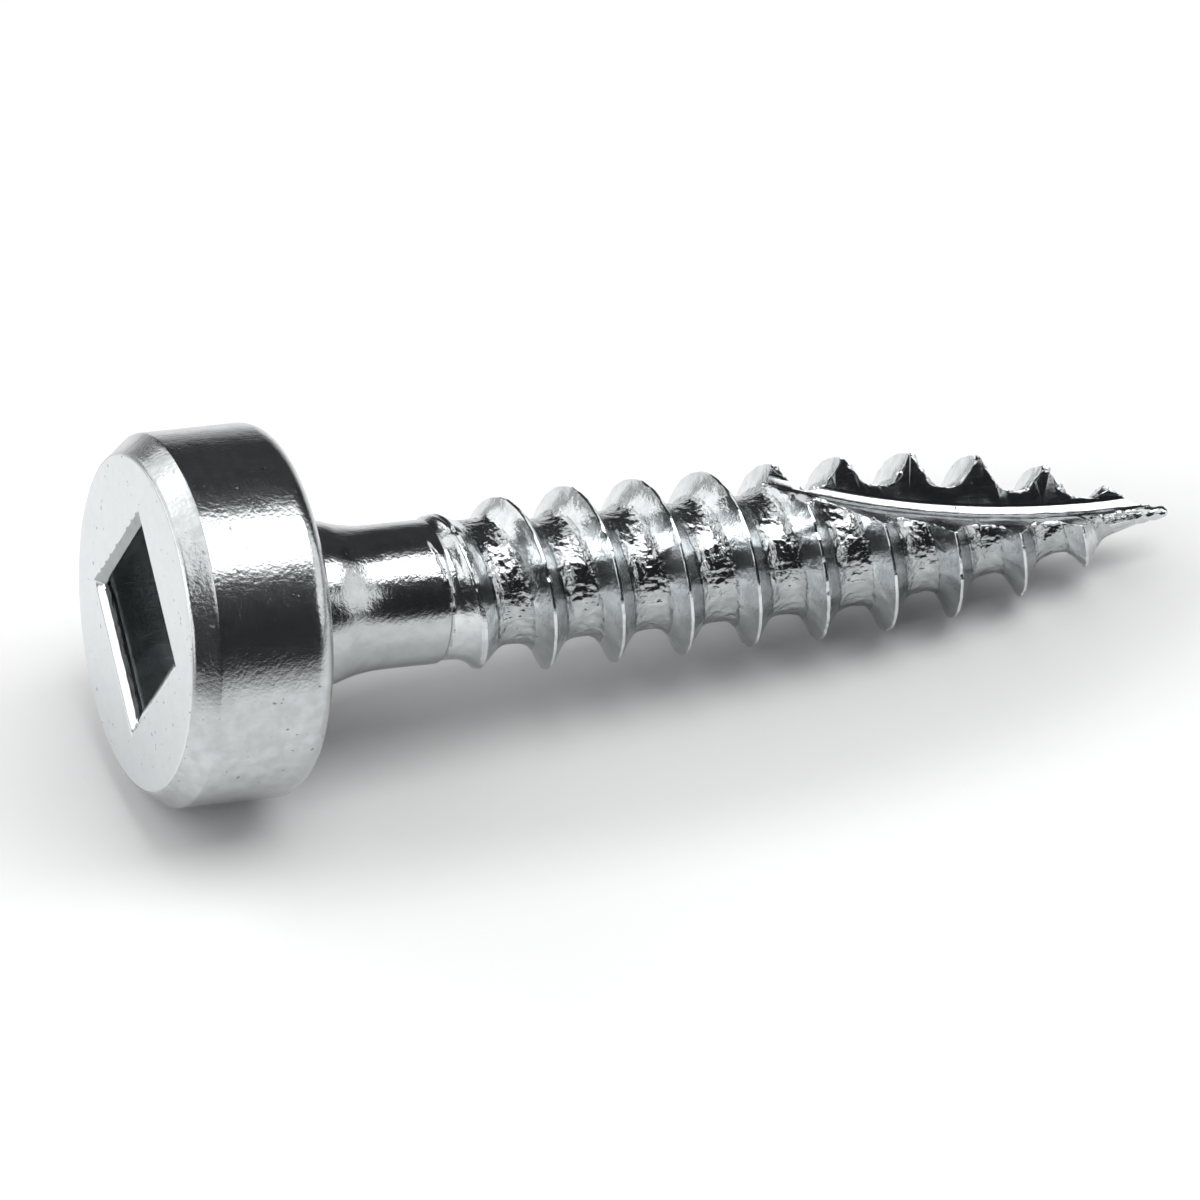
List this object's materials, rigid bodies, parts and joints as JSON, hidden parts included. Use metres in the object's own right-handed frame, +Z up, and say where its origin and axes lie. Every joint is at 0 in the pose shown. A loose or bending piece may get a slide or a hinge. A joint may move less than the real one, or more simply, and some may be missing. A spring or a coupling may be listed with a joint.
{
  "type": "pocket hole screw",
  "caption": "Pocket hole screw with a flat cylindrical head, square recess, plain shank, coarse thread and auger point, lying down.",
  "frame": {"origin": "centre of the lying screw's box, on the surface that it rests on", "axes": "+X along the screw from its head to its point, +Z up, the screw's own axis dipping 8.1 degrees towards the point"},
  "size_m": [0.0216, 0.0072, 0.0075],
  "materials": {
    "zinc_steel": "bright zinc plating over cold formed steel, satin, with fine grain and rolling marks"
  },
  "bodies": {
    "root": {"screw": "zinc_steel"}
  },
  "joints": []
}
